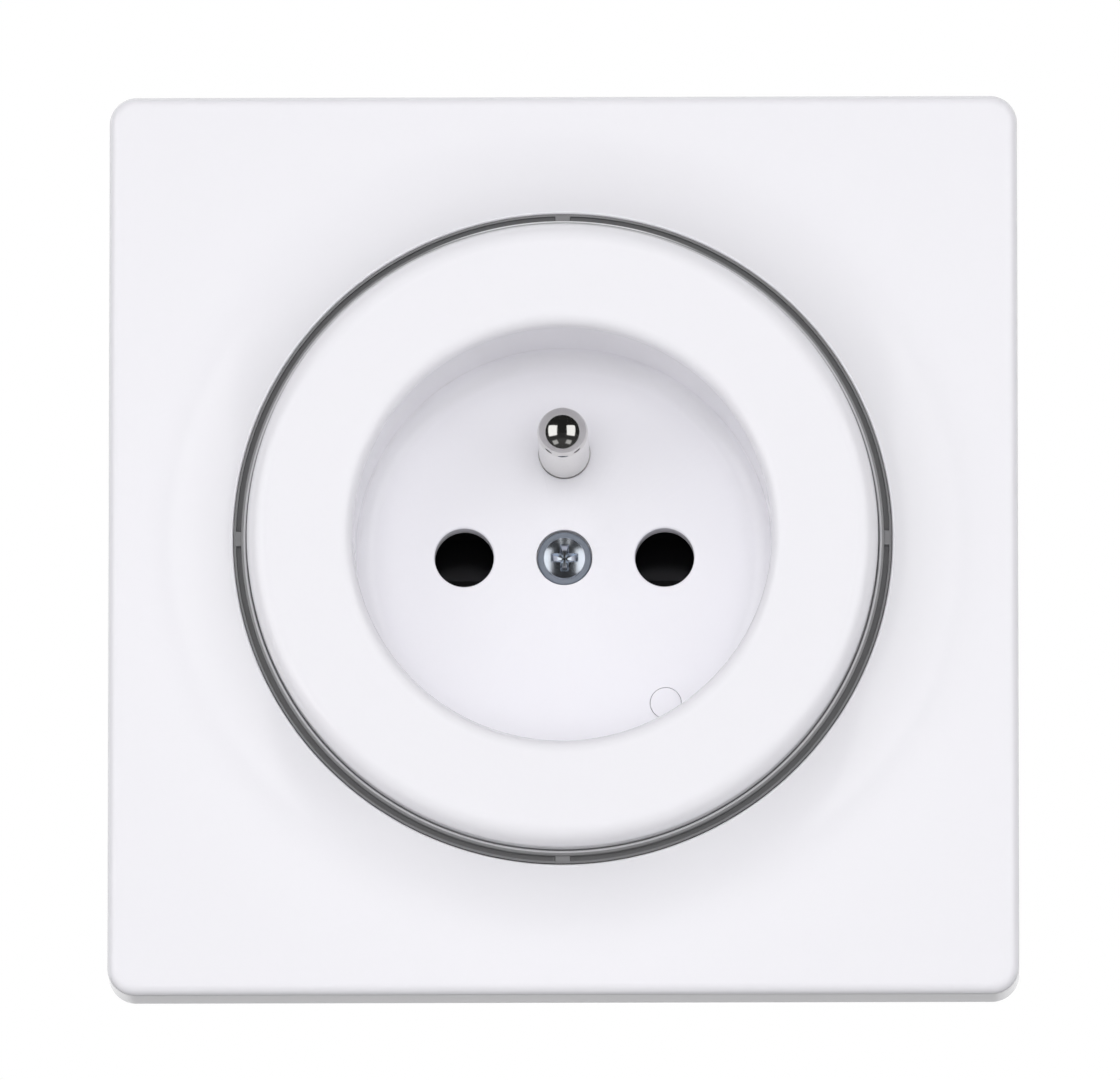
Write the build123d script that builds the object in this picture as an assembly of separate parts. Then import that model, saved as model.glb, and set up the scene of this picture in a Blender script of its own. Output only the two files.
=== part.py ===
from build123d import *
import os
from math import cos, radians, sin, sqrt

# A French wall socket with a light ring round its insert, for one flush box.
# Everything is drawn lying on its back and turned upright when it is written:
# x is to the right, y is up, and z is out of the wall, with the wall at z = 0.
# The origin is on the socket's axis. Sizes are in millimetres.

# Plug interface, as the French plug and socket standard gives it
pin_pitch = 19.0
pin_hole_d = 5.6
plug_pin_length = 19.0
earth_pin_d = 4.8
earth_pin_rise = 10.0
earth_pin_length = 14.0
recess_d = 39.5
recess_depth = 15.0

# Cover frame
frame_side = 86.0
frame_face_z = 6.3
frame_corner_r = 2.6
frame_edge_r = 1.0
frame_wall = 2.0
frame_inner_corner_r = 0.6
collar_margin = 3.0
collar_rise = 2.9
collar_lip_r = 0.25

# Socket insert, the white dish with the recess
insert_d = 59.6
insert_face_z = 13.0
insert_edge_r = 2.0
insert_wall = 2.0
insert_front_t = 2.2
insert_floor_t = 2.5
insert_skirt_z = 5.0
recess_rim_r = 1.35
recess_foot_r = 2.0
hole_lip_r = 0.25

# Light ring, a clear light guide between frame and insert
ring_t = 1.0
ring_gap = 0.15
ring_back_z = 5.8
ring_lip_t = 0.6
ring_lip_w = 0.95
ring_bead_t = 0.35
ring_bead_stand = 0.1
ring_bead_round = 0.4
ring_groove_depth = 0.5
ring_key_w = 1.5
ring_key_drop = 0.05
ring_key_overlap = 0.05

# Mounting plate and its screws, with the usual 60 mm between wall screws
plate_t = 1.2
plate_corner_r = 4.0
plate_hole_gap = 0.3
wall_screw_pitch = 60.0
plate_margin = 5.5
wall_slot_w = 4.0
wall_slot_length = 5.5
tab_place = 18.0
tab_w = 8.0
tab_stand = 4.0
tab_window_w = 6.0
tab_window_low = 1.6
tab_window_high = 3.0
clip_gap = 0.3
clip_t = 1.5
clip_root = 1.0
clip_w = 7.2
clip_end_z = 0.6
barb_w = 5.2
barb_low = 1.9
barb_high = 2.7
barb_reach = 0.9

# Rear housing
housing_room = 1.85
housing_wall = 1.6
housing_back_t = 1.8
flange_t = 1.5
flange_w = 1.7
ear_reach = 10.1
ear_r = 3.4
flange_screw_r = 1.2
flange_screw_head_r = 2.2
flange_screw_head_t = 1.1
flange_screw_edge_r = 0.4
flange_cross_w = 0.6
flange_screw_short = 0.1
rib_angles = [0, 45, 135, 180, 270]
rib_t = 2.0
rib_reach = 1.8
wire_hole_r = 2.3
driver_hole_r = 2.5

# Contact carrier behind the insert
carrier_gap = 0.3
carrier_wall = 1.6
deck_t = 2.1
shutter_room = 3.9
pocket_rim_inset = 0.35
pocket_rim_t = 1.6
carrier_screw_inset = 6.53
carrier_screw_angle = 31.83
carrier_screw_r = 1.2
carrier_screw_head_r = 2.0
carrier_screw_head_t = 1.5
carrier_screw_edge_r = 0.5
carrier_cross_w = 0.7
carrier_screw_length = 20.5
carrier_post_r = 2.6
screw_hole_gap = 0.2
tapped_gap = 0.05

# Centre screw and its brass nut
centre_screw_head_r = 2.55
centre_screw_head_t = 1.2
centre_screw_head_drop = 0.1
centre_screw_r = 1.45
centre_screw_length = 15.2
centre_screw_edge_r = 0.55
cross_length = 2.65
cross_width = 0.75
cross_depth = 0.75
centre_nut_r = 2.1
centre_nut_bore_r = 1.5
centre_nut_length = 7.0
centre_tube_r = 3.2
centre_boss_wall = 1.5
centre_boss_foot_t = 1.0

# Earth pin and strap
earth_shoulder_r = 2.56
earth_shoulder_stand = 0.06
earth_hole_gap = 0.06
earth_flange_r = 3.6
earth_flange_t = 1.6
earth_rivet_r = 1.5
earth_rivet_head_r = 2.6
rivet_well_gap = 0.3
rivet_well_wall = 1.6
strap_t = 0.8
strap_w = 6.0
strap_bend_r = 0.5
strap_gap = 0.3
strap_end_rise = 1.0

# Contacts for the plug's pins
contact_bore_r = 2.45
contact_t = 0.6
contact_slot_w = 0.8
contact_length = 10.5
contact_tail_w = 1.6
contact_tail_length = 4.1
contact_tail_root = 1.0
contact_collar = 1.5
contact_board_gap = 1.0
tail_hole_gap = 0.1
tower_gap = 0.25
tower_wall = 1.2
tower_foot_gap = 0.5

# Shutter behind the insert's floor and its spring
shutter_pad_w = 7.8
shutter_pad_overlap = 0.6
shutter_travel = 6.4
shutter_gap = 0.1
shutter_front_gap = 0.4
shutter_thin_t = 0.8
shutter_bar_t = 1.7
shutter_bar_w = 2.2
shutter_lug_w = 4.4
shutter_lug_gap = 0.3
rail_w = 1.4
rail_gap = 0.2
rail_stand = 2.4
stop_stand = 1.0
stop_w = 5.2
stop_t = 1.0
spring_coil_r = 1.3
spring_wire_r = 0.17
spring_turns = 9
spring_peg_r = 0.85
spring_peg_length = 1.5
spring_seat_inset = 1.4
spring_seat_t = 1.2

# Service button in the recess and the switch that it presses
button_inset = 2.775
button_angle = -55.56
button_r = 1.5
button_gap = 0.06
button_flange_r = 2.1
button_flange_t = 0.8
button_flange_gap = 0.3
button_stem_r = 1.1
button_stem_gap = 0.3
button_travel = 0.5
switch_side = 6.0
switch_stand = 3.1
plunger_r = 1.0
plunger_stand = 0.8
plunger_gap = 0.15
plunger_depth = 0.8
plunger_room = 0.2

# Terminals
terminal_x = 10.6
terminal_w = 6.5
terminal_t = 7.0
terminal_length = 9.1
terminal_corner_r = 0.6
terminal_inset = 5.4
terminal_bore_r = 1.75
terminal_bore_depth = 8.0
terminal_screw_wall = 1.95
terminal_screw_place = 4.0
terminal_screw_r = 1.45
terminal_screw_stand = 1.4
terminal_screw_head_r = 2.1
terminal_screw_head_t = 1.5
driver_slot_w = 0.5
driver_slot_depth = 0.6
earth_terminal_inset = 2.3
terminal_back_gap = 4.2
pocket_wall = 1.0
pocket_gap = 0.1
pocket_height = 7.0

# Control board and what it carries
pin_end_room = 1.5
board_t = 1.6
board_edge_gap = 0.4
busbar_t = 0.8
busbar_inner_x = 8.3
busbar_w = 4.3
busbar_corner_r = 0.8
live_busbar_top_y = -3.0
neutral_busbar_top_y = 4.2
busbar_foot_y = -13.6
relay_size = (12.0, 10.0, 12.5)
relay_gap = 1.0
relay_corner_r = 0.5
power_size = (16.0, 12.0, 9.9)
power_gap = 1.3
power_corner_r = 1.0
capacitor_r = 3.2
capacitor_length = 11.9
capacitor_inset = 7.28
capacitor_angle = 187.04
capacitor_edge_r = 0.4
crimp_place = 1.6
crimp_r = 0.5
crimp_depth = 0.25
fuse_r = 2.0
fuse_length = 8.5
fuse_inset = 4.1
fuse_angle = 206.83
fuse_edge_r = 0.3
radio_size = (5.6, 12.0, 0.8)
radio_can_size = (4.8, 8.0, 1.7)
radio_inset = 6.57
radio_angle = -3.37

# Light board behind the ring, its lamps and its ribbon
light_board_overhang = 0.65
light_board_w = 6.1
light_board_t = 1.0
led_size = (1.0, 1.6, 0.6)
ribbon_t = 0.3
ribbon_w = 5.0
ribbon_reach = 28.0
ribbon_gap = 0.4
ribbon_slot_gap = 0.3
ribbon_socket_size = (2.3, 6.0, 1.5)

# How near an edge must be to the place it is looked for at
edge_match = 0.01

# Places that follow from the sizes above
floor_z = insert_face_z - recess_depth
floor_back_z = floor_z - insert_floor_t
recess_r = recess_d / 2
cup_r = recess_r + insert_wall
insert_r = insert_d / 2
ring_inner_r = insert_r + ring_gap
ring_outer_r = ring_inner_r + ring_t
frame_hole_r = ring_outer_r + ring_gap
collar_foot_r = frame_side / 2 - collar_margin
collar_top_z = frame_face_z + collar_rise
pin_x = pin_pitch / 2
deck_z = floor_back_z - shutter_room
deck_back_z = deck_z - deck_t
board_z = floor_z - plug_pin_length - pin_end_room
board_back_z = board_z - board_t
housing_inner_r = cup_r + housing_room
housing_r = housing_inner_r + housing_wall
ear_place_r = housing_r + ear_reach
plate_side = wall_screw_pitch + 2 * plate_margin
flange_z = plate_t
flange_front_z = flange_z + flange_t
carrier_r = housing_inner_r - carrier_gap
carrier_inner_r = carrier_r - carrier_wall
pocket_rim_r = cup_r - pocket_rim_inset
pocket_rim_inner_r = pocket_rim_r - pocket_rim_t
spring_seat_y = spring_seat_inset - pocket_rim_inner_r
contact_r = contact_bore_r + contact_t
contact_back_z = board_z + contact_board_gap
contact_front_z = contact_back_z + contact_length
tower_bore_r = contact_r + tower_gap
tower_r = tower_bore_r + tower_wall
strap_z = floor_back_z - earth_flange_t
strap_back_z = strap_z - strap_t
terminal_front_z = board_back_z - busbar_t
terminal_back_z = terminal_front_z - terminal_length
terminal_screw_z = terminal_back_z + terminal_screw_place
terminal_reach = housing_inner_r - terminal_inset
earth_terminal_reach = housing_inner_r - earth_terminal_inset
housing_back_z = terminal_back_z - terminal_back_gap
power_y = earth_terminal_reach - terminal_t - power_gap - power_size[1] / 2
relay_y = power_y - power_size[1] / 2 - relay_gap - relay_size[1] / 2
light_board_back_z = insert_skirt_z - light_board_t
light_board_r = ring_outer_r + light_board_overhang
light_board_inner_r = light_board_r - light_board_w


def polar(radius, angle):
    """Place at this radius from the socket's axis, at this angle from +x, in degrees."""
    return radius * cos(radians(angle)), radius * sin(radians(angle))


carrier_screw_x, carrier_screw_y = polar(housing_inner_r - carrier_screw_inset, carrier_screw_angle)
button_x, button_y = polar(recess_r - button_inset, button_angle)
capacitor_place = polar(housing_inner_r - capacitor_inset, capacitor_angle)
fuse_place = polar(housing_inner_r - fuse_inset, fuse_angle)
radio_place = polar(housing_inner_r - radio_inset, radio_angle)


# Solids by their ranges


def disc(radius, low, high):
    return Pos(0, 0, low) * Cylinder(radius, high - low, align=(Align.CENTER, Align.CENTER, Align.MIN))


def tube(outer, inner, low, high):
    return disc(outer, low, high) - disc(inner, low, high)


def block(x_low, x_high, y_low, y_high, z_low, z_high):
    size = (x_high - x_low, y_high - y_low, z_high - z_low)
    middle = ((x_low + x_high) / 2, (y_low + y_high) / 2, (z_low + z_high) / 2)
    return Pos(*middle) * Box(*size)


def standing_block(size, place, front_z):
    """A block of the given width, height and depth, whose front is on the plane z = front_z."""
    half_x, half_y = size[0] / 2, size[1] / 2
    x, y = place
    return block(x - half_x, x + half_x, y - half_y, y + half_y, front_z - size[2], front_z)


def turned(points, radii):
    """The solid that a closed outline of (radius, z) points makes round the socket's axis."""
    outline = FilletPolyline(*points, radius=radii, close=True)
    return revolve(Plane.XZ * make_face(outline), Axis.Z)


def post(x, y, radius, low, high):
    return Pos(x, y, 0) * disc(radius, low, high)


def ring_edges(solid, radius, z):
    """The solid's circular edges of this radius on this plane."""
    circles = solid.edges().filter_by(GeomType.CIRCLE)
    on_plane = [e for e in circles if abs(e.center().Z - z) < edge_match]
    return [e for e in on_plane if abs(e.radius - radius) < edge_match]


# Cover frame


def collar_curve_z(radius):
    """Height of the collar's flare, one arc that leaves the flat face at the collar's foot."""
    run = collar_foot_r - frame_hole_r
    arc_r = (run**2 + collar_rise**2) / (2 * collar_rise)
    return frame_face_z + arc_r - sqrt(arc_r**2 - (collar_foot_r - radius) ** 2)


def collar():
    middle_r = (collar_foot_r + frame_hole_r) / 2
    drop = frame_wall
    front = ThreePointArc(
        (frame_hole_r, collar_top_z),
        (middle_r, collar_curve_z(middle_r)),
        (collar_foot_r, frame_face_z),
    )
    back = ThreePointArc(
        (collar_foot_r, frame_face_z - drop),
        (middle_r, collar_curve_z(middle_r) - drop),
        (frame_hole_r, collar_top_z - drop),
    )
    sides = [Line(front @ 1, back @ 0), Line(back @ 1, front @ 0)]
    return revolve(Plane.XZ * make_face([front, back] + sides), Axis.Z)


def cover_frame():
    plate = extrude(RectangleRounded(frame_side, frame_side, frame_corner_r), frame_face_z)
    plate = fillet(plate.faces().sort_by(Axis.Z)[-1].edges(), frame_edge_r)
    inside = frame_side - 2 * frame_wall
    plate -= extrude(RectangleRounded(inside, inside, frame_inner_corner_r), frame_face_z - frame_wall)
    plate -= disc(collar_foot_r, -1, frame_face_z + 1)
    frame = plate + collar()
    frame = fillet(ring_edges(frame, frame_hole_r, collar_top_z), collar_lip_r)
    tab_outer_x = plate_side / 2
    for side in (-1, 1):
        for y in (-tab_place, tab_place):
            near, far = tab_outer_x + clip_gap, tab_outer_x + clip_gap + clip_t
            leg_z = (clip_end_z, frame_face_z - frame_wall + clip_root)
            leg = block(near, far, y - clip_w / 2, y + clip_w / 2, *leg_z)
            barb_y = (y - barb_w / 2, y + barb_w / 2)
            barb = block(near - barb_reach, near, *barb_y, barb_low, barb_high)
            clip = leg + barb
            frame += clip if side > 0 else mirror(clip, Plane.YZ)
    return frame


# Light ring


def light_ring():
    groove_z = collar_top_z - ring_groove_depth
    bead_r = ring_inner_r + ring_bead_t
    bead_z = collar_top_z + ring_bead_stand
    lip_z = ring_back_z + ring_lip_t
    lip_r = ring_outer_r + ring_lip_w
    points = [
        (ring_inner_r, ring_back_z),
        (lip_r, ring_back_z),
        (lip_r, lip_z),
        (ring_outer_r, lip_z),
        (ring_outer_r, groove_z),
        (bead_r, groove_z),
        (bead_r, bead_z),
        (ring_inner_r, bead_z),
    ]
    bead_round = ring_bead_t * ring_bead_round
    ring = turned(points, [0, 0, 0, 0, 0, 0, bead_round, bead_round])
    key_low, key_high = groove_z - ring_key_overlap, collar_top_z - ring_key_drop
    key_zone = tube(ring_outer_r, bead_r - ring_key_overlap, key_low, key_high)
    half_key = ring_key_w / 2
    for turn in (0, 90, 180, 270):
        key = block(ring_inner_r, ring_outer_r, -half_key, half_key, key_low, key_high)
        ring += Rot(0, 0, turn) * key & key_zone
    return ring


# Socket insert


def socket_insert():
    points = [
        (0, floor_z),
        (recess_r, floor_z),
        (recess_r, insert_face_z),
        (insert_r, insert_face_z),
        (insert_r, insert_skirt_z),
        (insert_r - insert_wall, insert_skirt_z),
        (insert_r - insert_wall, insert_face_z - insert_front_t),
        (cup_r, insert_face_z - insert_front_t),
        (cup_r, floor_back_z),
        (0, floor_back_z),
    ]
    insert = turned(points, [0, recess_foot_r, recess_rim_r, insert_edge_r, 0, 0, 0, 0, 0, 0])
    insert += disc(centre_tube_r, deck_z, floor_back_z)
    insert -= disc(centre_screw_r + screw_hole_gap, deck_z - 1, floor_z + 1)
    head_seat_z = floor_z - centre_screw_head_drop - centre_screw_head_t
    insert -= disc(centre_screw_head_r + screw_hole_gap, head_seat_z, floor_z + 1)
    for x in (-pin_x, pin_x):
        insert -= post(x, 0, pin_hole_d / 2, floor_back_z - 1, floor_z + 1)
    earth_hole_r = earth_shoulder_r + earth_hole_gap
    insert -= post(0, earth_pin_rise, earth_hole_r, floor_back_z - 1, floor_z + 1)
    insert = fillet(ring_edges(insert, pin_hole_d / 2, floor_z), hole_lip_r)
    button_hole_r = button_r + button_gap
    return insert - post(button_x, button_y, button_hole_r, floor_back_z - 1, floor_z + recess_foot_r)


# Centre screw, its nut and the other small screws


def machine_screw(head_r, head_t, shank_r, shank_length, edge_r, cross):
    """A pan-head screw with its head's underside at z = 0, its shank down and a recess in the head."""
    head = disc(head_r, 0, head_t)
    head = fillet(head.edges().sort_by(Axis.Z)[-1], edge_r)
    long, wide, deep = cross
    for turn in (0, 90):
        head -= Rot(0, 0, turn) * block(-long / 2, long / 2, -wide / 2, wide / 2, head_t - deep, head_t + 1)
    return head + disc(shank_r, -shank_length, 0)


def slotted_screw(head_r, head_t, shank_r, shank_length):
    """A cheese-head screw with its head's underside at z = 0, its shank down and one driver slot."""
    half_w = driver_slot_w / 2
    slot = block(-head_r - 1, head_r + 1, -half_w, half_w, head_t - driver_slot_depth, head_t + 1)
    return disc(head_r, 0, head_t) + disc(shank_r, -shank_length, 0) - slot


def centre_screw():
    screw = machine_screw(
        centre_screw_head_r,
        centre_screw_head_t,
        centre_screw_r,
        centre_screw_length,
        centre_screw_edge_r,
        (cross_length, cross_width, cross_depth),
    )
    return Pos(0, 0, floor_z - centre_screw_head_drop - centre_screw_head_t) * screw


def centre_nut():
    nut_front_z = deck_back_z - centre_boss_wall
    return tube(centre_nut_r, centre_nut_bore_r, nut_front_z - centre_nut_length, nut_front_z)


def flange_screw(turn):
    screw = machine_screw(
        flange_screw_head_r,
        flange_screw_head_t,
        flange_screw_r,
        flange_t + plate_t - flange_screw_short,
        flange_screw_edge_r,
        (flange_screw_head_r, flange_cross_w, flange_screw_head_t / 2),
    )
    return Pos(*polar(ear_place_r, turn), flange_front_z) * screw


def carrier_screw(side):
    screw = machine_screw(
        carrier_screw_head_r,
        carrier_screw_head_t,
        carrier_screw_r,
        carrier_screw_length,
        carrier_screw_edge_r,
        (carrier_screw_head_r, carrier_cross_w, carrier_screw_head_t / 2),
    )
    return Pos(side * carrier_screw_x, carrier_screw_y, deck_z) * screw


# Earth pin and strap


def earth_pin():
    pin_r = earth_pin_d / 2
    dome_z = floor_z + earth_pin_length - pin_r
    pin = disc(pin_r, floor_back_z, dome_z) + Pos(0, 0, dome_z) * Sphere(pin_r)
    pin += disc(earth_shoulder_r, floor_back_z, floor_z + earth_shoulder_stand)
    pin += disc(earth_flange_r, strap_z, floor_back_z)
    pin += disc(earth_rivet_r, strap_back_z, strap_z)
    pin += disc(earth_rivet_head_r, strap_back_z - strap_t, strap_back_z)
    return Pos(0, earth_pin_rise, 0) * pin


def earth_strap():
    half_w = strap_w / 2
    outer_y = earth_terminal_reach + strap_t
    inner_y = earth_pin_rise - earth_flange_r
    end_z = terminal_back_z + strap_end_rise
    points = [
        (inner_y, strap_z),
        (outer_y, strap_z),
        (outer_y, end_z),
        (earth_terminal_reach, end_z),
        (earth_terminal_reach, strap_back_z),
        (inner_y, strap_back_z),
    ]
    radii = [0, strap_bend_r + strap_t, 0, 0, strap_bend_r, 0]
    profile = make_face(FilletPolyline(*points, radius=radii, close=True))
    strap = extrude(Plane.YZ * profile, half_w, both=True)
    strap -= post(0, earth_pin_rise, earth_rivet_r, strap_back_z - 1, strap_z + 1)
    hole = Rot(-90, 0, 0) * Cylinder(terminal_screw_r + screw_hole_gap, 4 * strap_t)
    return strap - Pos(0, earth_terminal_reach, terminal_screw_z) * hole


# Mounting plate


def mounting_plate():
    plate = extrude(RectangleRounded(plate_side, plate_side, plate_corner_r), plate_t)
    plate -= disc(housing_r + plate_hole_gap, -1, plate_t + 1)
    slot = extrude(SlotOverall(wall_slot_length, wall_slot_w), plate_t + 1)
    for turn in (0, 90, 180, 270):
        plate -= Rot(0, 0, turn) * Pos(wall_screw_pitch / 2, 0, -0.5) * slot
        plate -= Rot(0, 0, turn + 45) * post(ear_place_r, 0, flange_screw_r + tapped_gap, -1, plate_t + 1)
    outer_x = plate_side / 2
    for side in (-1, 1):
        for y in (-tab_place, tab_place):
            tab = block(outer_x - plate_t, outer_x, y - tab_w / 2, y + tab_w / 2, 0, tab_stand)
            window_y = (y - tab_window_w / 2, y + tab_window_w / 2)
            tab -= block(outer_x - 2 * plate_t, outer_x + 1, *window_y, tab_window_low, tab_window_high)
            plate += tab if side > 0 else mirror(tab, Plane.YZ)
    return plate


# Rear housing


def terminal_places():
    """Name, x, outer side (down is -1, up is 1), outer face, front and outer cover of each terminal."""
    return [
        ("live", -terminal_x, -1, terminal_reach, terminal_front_z, 0),
        ("neutral", terminal_x, -1, terminal_reach, terminal_front_z, 0),
        ("earth", 0, 1, earth_terminal_reach, board_back_z, strap_t),
    ]


def terminal_bore_y(side, reach):
    return side * (reach - terminal_screw_wall - terminal_bore_r)


def terminal_pocket(x, side, reach, cover_t):
    """The open box round a terminal's back end that holds it against the screwdriver."""
    half_w = terminal_w / 2 + pocket_gap
    y_in, y_out = reach - terminal_t - pocket_gap, reach + cover_t + pocket_gap
    low, high = housing_back_z, housing_back_z + pocket_height
    outer_w = half_w + pocket_wall
    walls = block(x - outer_w, x + outer_w, y_in - pocket_wall, y_out + pocket_wall, low, high)
    walls -= block(x - half_w, x + half_w, y_in, y_out, low - 1, high + 1)
    return walls if side > 0 else mirror(walls, Plane.XZ)


def rear_housing():
    body = disc(housing_r, housing_back_z - housing_back_t, flange_front_z)
    body += disc(housing_r + flange_w, flange_z, flange_front_z)
    for turn in (45, 135, 225, 315):
        ear = post(ear_place_r, 0, ear_r, flange_z, flange_front_z)
        ear += block(housing_r, ear_place_r, -ear_r, ear_r, flange_z, flange_front_z)
        ear -= post(ear_place_r, 0, flange_screw_r + screw_hole_gap, flange_z - 1, flange_front_z + 1)
        body += Rot(0, 0, turn) * ear
    body -= disc(housing_inner_r, housing_back_z, flange_front_z + 1)
    inside = disc(housing_r, housing_back_z, board_back_z)
    rib_x = (housing_inner_r - rib_reach, housing_r)
    for turn in rib_angles:
        rib = block(*rib_x, -rib_t / 2, rib_t / 2, housing_back_z, board_back_z)
        body += Rot(0, 0, turn) * rib & inside
    tapped_r = carrier_screw_r + tapped_gap
    tapped_z = deck_z - carrier_screw_length - 1
    for side in (-1, 1):
        place = (side * carrier_screw_x, carrier_screw_y)
        body += post(*place, carrier_post_r, housing_back_z, board_back_z)
        body -= post(*place, tapped_r, tapped_z, board_back_z)
    for _, x, side, reach, _, cover_t in terminal_places():
        body += terminal_pocket(x, side, reach, cover_t) & inside
        wire_y = terminal_bore_y(side, reach)
        body -= post(x, wire_y, wire_hole_r, housing_back_z - housing_back_t - 1, housing_back_z)
        driver_hole = Rot(-90 * side, 0, 0) * disc(driver_hole_r, reach, housing_r + 1)
        body -= Pos(x, 0, terminal_screw_z) * driver_hole
    return body


# Contact carrier


def contact_carrier():
    carrier = disc(carrier_r, board_z, deck_z) - disc(carrier_inner_r, board_z - 1, deck_back_z)
    carrier += tube(pocket_rim_r, pocket_rim_inner_r, deck_z, floor_back_z)
    for x in (-pin_x, pin_x):
        carrier += post(x, 0, tower_r, board_z + tower_foot_gap, deck_z)
        carrier -= post(x, 0, tower_bore_r, board_z, contact_front_z)
        carrier -= post(x, 0, plug_pin_way_r(), contact_front_z - 1, deck_z + 1)
    nut_front_z = deck_back_z - centre_boss_wall
    nut_back_z = nut_front_z - centre_nut_length
    carrier += disc(centre_nut_r + centre_boss_wall, nut_back_z - centre_boss_foot_t, deck_z)
    carrier -= disc(centre_screw_r + screw_hole_gap, board_z, deck_z + 1)
    carrier -= disc(centre_nut_r, board_z, nut_front_z)
    rivet_well_r = earth_rivet_head_r + rivet_well_gap
    carrier += post(0, earth_pin_rise, rivet_well_r + rivet_well_wall, deck_z, strap_back_z)
    carrier -= post(0, earth_pin_rise, rivet_well_r, deck_z, strap_back_z + 1)
    hole_r = carrier_screw_r + screw_hole_gap
    for side in (-1, 1):
        carrier += post(side * carrier_screw_x, carrier_screw_y, carrier_post_r, board_z, deck_z)
        carrier -= post(side * carrier_screw_x, carrier_screw_y, hole_r, board_z - 1, deck_z + 1)
        carrier += shutter_rail(side)
        stop_x = (side * pin_x - stop_w / 2, side * pin_x + stop_w / 2)
        stop_y = shutter_pad_top() + shutter_gap
        carrier += block(*stop_x, stop_y, stop_y + stop_t, deck_z, deck_z + stop_stand)
    seat_y = (spring_seat_y - spring_seat_t, spring_seat_y)
    half_lug = shutter_lug_w / 2
    carrier += block(-half_lug, half_lug, *seat_y, deck_z, floor_back_z - shutter_front_gap)
    carrier += spring_peg(spring_seat_y, 1)
    carrier -= post(button_x, button_y, button_stem_r + button_stem_gap, board_z, deck_z + 1)
    strap_half = strap_w / 2 + strap_gap
    strap_way_y = earth_terminal_reach - strap_bend_r - strap_gap
    rim_way_y = pocket_rim_inner_r - 1
    carrier -= block(-strap_half, strap_half, rim_way_y, housing_r, strap_back_z, floor_back_z + 1)
    carrier -= block(-strap_half, strap_half, strap_way_y, housing_r, board_z - 1, floor_back_z)
    ribbon_half = ribbon_socket_size[1] / 2 + ribbon_slot_gap
    ribbon_way_x = ribbon_slot_gap - carrier_inner_r
    carrier -= block(-housing_r, ribbon_way_x, -ribbon_half, ribbon_half, board_z - 1, deck_z + 1)
    return carrier


def plug_pin_way_r():
    return pin_hole_d / 2 + screw_hole_gap


def shutter_rail(side):
    """A low rail beside the shutter's pad that keeps it straight on its way down."""
    inner_x = pin_x + shutter_pad_w / 2 + rail_gap
    rail_y = (shutter_pad_foot() - shutter_travel, shutter_pad_top())
    rail = block(inner_x, inner_x + rail_w, *rail_y, deck_z, deck_z + rail_stand)
    return rail if side > 0 else mirror(rail, Plane.YZ)


# Shutter and its spring


def shutter_pad_top():
    return pin_hole_d / 2 + shutter_pad_overlap


def shutter_pad_foot():
    return -shutter_pad_top()


def shutter_foot_y():
    """Lower edge of the shutter's cross bar, where the spring pushes."""
    return shutter_pad_foot() - shutter_bar_w


def spring_axis_z():
    return (deck_z + floor_back_z) / 2


def spring_peg(y, direction):
    peg = Rot(-90 * direction, 0, 0) * disc(spring_peg_r, 0, spring_peg_length)
    return Pos(0, y, spring_axis_z()) * peg


def shutter():
    back = deck_z + shutter_gap
    front = floor_back_z - shutter_front_gap
    top, foot = shutter_pad_top(), shutter_pad_foot()
    ramp = [
        (foot, back),
        (top, back),
        (top, back + shutter_thin_t),
        (top - shutter_thin_t, back + shutter_thin_t),
        (foot + 2 * shutter_thin_t, front),
        (foot, front),
    ]
    pad = extrude(Plane.YZ * make_face(Polyline(*ramp, close=True)), shutter_pad_w / 2, both=True)
    slide = Pos(-pin_x, 0, 0) * pad + Pos(pin_x, 0, 0) * pad
    half_bar = pin_x + shutter_pad_w / 2
    slide += block(-half_bar, half_bar, shutter_foot_y(), foot, back, back + shutter_bar_t)
    half_lug, lug_top = shutter_lug_w / 2, foot - shutter_lug_gap
    slide += block(-half_lug, half_lug, shutter_foot_y(), lug_top, back, front)
    return slide + spring_peg(shutter_foot_y(), -1)


def shutter_spring():
    length = shutter_foot_y() - spring_seat_y - 2 * spring_wire_r
    path = Helix(pitch=length / spring_turns, height=length, radius=spring_coil_r)
    wire = Plane(origin=path @ 0, z_dir=path % 0) * Circle(spring_wire_r)
    coil = sweep(wire, path=path, is_frenet=True)
    return Pos(0, spring_seat_y + spring_wire_r, spring_axis_z()) * Rot(-90, 0, 0) * coil


# Service button and the switch behind it


def button_places():
    """z of the button's flange and of the switch's front, which the plunger stands on."""
    flange_front = floor_back_z - button_flange_gap
    switch_front = board_z + switch_stand
    return flange_front, switch_front


def service_button():
    flange_front, switch_front = button_places()
    button = disc(button_r, flange_front, floor_z)
    button += disc(button_flange_r, flange_front - button_flange_t, flange_front)
    button += disc(button_stem_r, switch_front + plunger_stand, flange_front)
    return Pos(button_x, button_y, 0) * button


def tactile_switch():
    _, switch_front = button_places()
    half = switch_side / 2
    body = block(-half, half, -half, half, board_z, switch_front)
    well_z = switch_front - plunger_depth - button_travel - plunger_room
    body -= disc(plunger_r + plunger_gap, well_z, switch_front + 1)
    return Pos(button_x, button_y, 0) * body


def switch_plunger():
    _, switch_front = button_places()
    return post(button_x, button_y, plunger_r, switch_front - plunger_depth, switch_front + plunger_stand)


# Contacts and terminals


def plug_contact(side):
    contact = tube(contact_r, contact_bore_r, contact_back_z, contact_front_z)
    slot_z = (contact_back_z + contact_collar, contact_front_z + 1)
    contact -= block(-contact_slot_w / 2, contact_slot_w / 2, -contact_r, contact_r, *slot_z)
    half_tail = contact_tail_w / 2
    tail_z = (contact_back_z - contact_tail_length, contact_back_z + contact_tail_root)
    contact += block(-half_tail, half_tail, contact_bore_r, contact_r, *tail_z)
    return Pos(side * pin_x, 0, 0) * contact


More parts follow.
